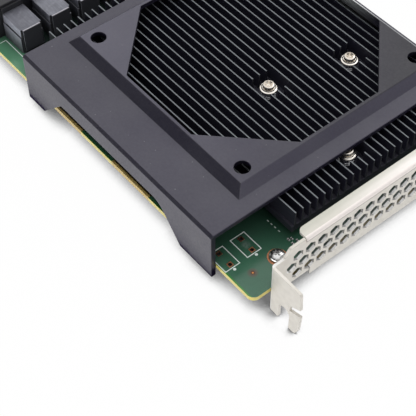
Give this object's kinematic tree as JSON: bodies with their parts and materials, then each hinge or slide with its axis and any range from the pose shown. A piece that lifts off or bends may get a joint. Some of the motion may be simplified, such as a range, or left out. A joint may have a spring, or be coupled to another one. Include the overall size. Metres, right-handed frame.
{
  "type": "host bus adapter",
  "caption": "Full-height host bus adapter card: finned heat sink under a moulded shroud with a seat for a fan, vented slot bracket and a rear row of cable connectors.",
  "frame": {"origin": "centre of the edge connector's key, on the end of the board's tongue and midway through the board", "axes": "+X along the board towards the bracket's outer face, +Y out of the edge connector, +Z away from the component face, which lies up"},
  "size_m": [0.1602, 0.1274, 0.0257],
  "materials": {
    "solder_mask": "green solder mask over glass-fibre board, semi-gloss",
    "gold": "gold plating, bright",
    "tinned_copper": "bare copper, lightly tinned",
    "bracket_steel": "nickel-plated steel sheet, satin",
    "screw_nickel": "nickel plating, bright",
    "black_anodised": "black anodised extrusion, satin",
    "spring_steel": "spring wire, satin",
    "chip_substrate": "laminate chip carrier",
    "lid_nickel": "nickel-plated, satin",
    "pad_grey": "soft thermal pad",
    "plate_steel": "zinc-plated sheet",
    "film_black": "insulating film",
    "shroud_plastic": "dark grey moulding, fine texture",
    "port_plastic": "black moulding",
    "shell_nickel": "nickel-plated shell, satin",
    "chip_black": "moulded package",
    "ferrite": "pressed powder",
    "capacitor_case": "moulded case",
    "ceramic_tan": "fired, with tinned ends",
    "resistor_black": "glazed, with tinned ends",
    "led_clear": "clear resin"
  },
  "bodies": {
    "root": {"circuit_board": "solder_mask", "edge_contacts": "gold", "edge_strips": "gold", "plated_pads": "tinned_copper", "bracket": "bracket_steel", "bracket_screws": "screw_nickel", "heat_sink": "black_anodised", "heat_sink_screws": "screw_nickel", "heat_sink_springs": "spring_steel", "controller_package": "chip_substrate", "controller_lid": "lid_nickel", "thermal_pad": "pad_grey", "backplate": "plate_steel", "backplate_insulator": "film_black", "press_nuts": "screw_nickel", "shroud": "shroud_plastic", "shroud_screws": "screw_nickel", "port_frame": "port_plastic", "flash_chip": "chip_black", "power_inductors": "ferrite", "power_stages": "chip_black", "bulk_capacitors": "capacitor_case", "clock_oscillator": "lid_nickel", "small_capacitors": "ceramic_tan", "small_resistors": "resistor_black", "solder_side_capacitors": "ceramic_tan", "status_leds": "led_clear", "connector_shell_1": "shell_nickel", "connector_housing_1": "port_plastic", "connector_contacts_1": "gold", "connector_shell_2": "shell_nickel", "connector_housing_2": "port_plastic", "connector_contacts_2": "gold", "connector_shell_3": "shell_nickel", "connector_housing_3": "port_plastic", "connector_contacts_3": "gold", "connector_shell_4": "shell_nickel", "connector_housing_4": "port_plastic", "connector_contacts_4": "gold", "connector_shell_5": "shell_nickel", "connector_housing_5": "port_plastic", "connector_contacts_5": "gold", "connector_shell_6": "shell_nickel", "connector_housing_6": "port_plastic", "connector_contacts_6": "gold", "connector_shell_7": "shell_nickel", "connector_housing_7": "port_plastic", "connector_contacts_7": "gold", "connector_shell_8": "shell_nickel", "connector_housing_8": "port_plastic", "connector_contacts_8": "gold"}
  },
  "joints": []
}
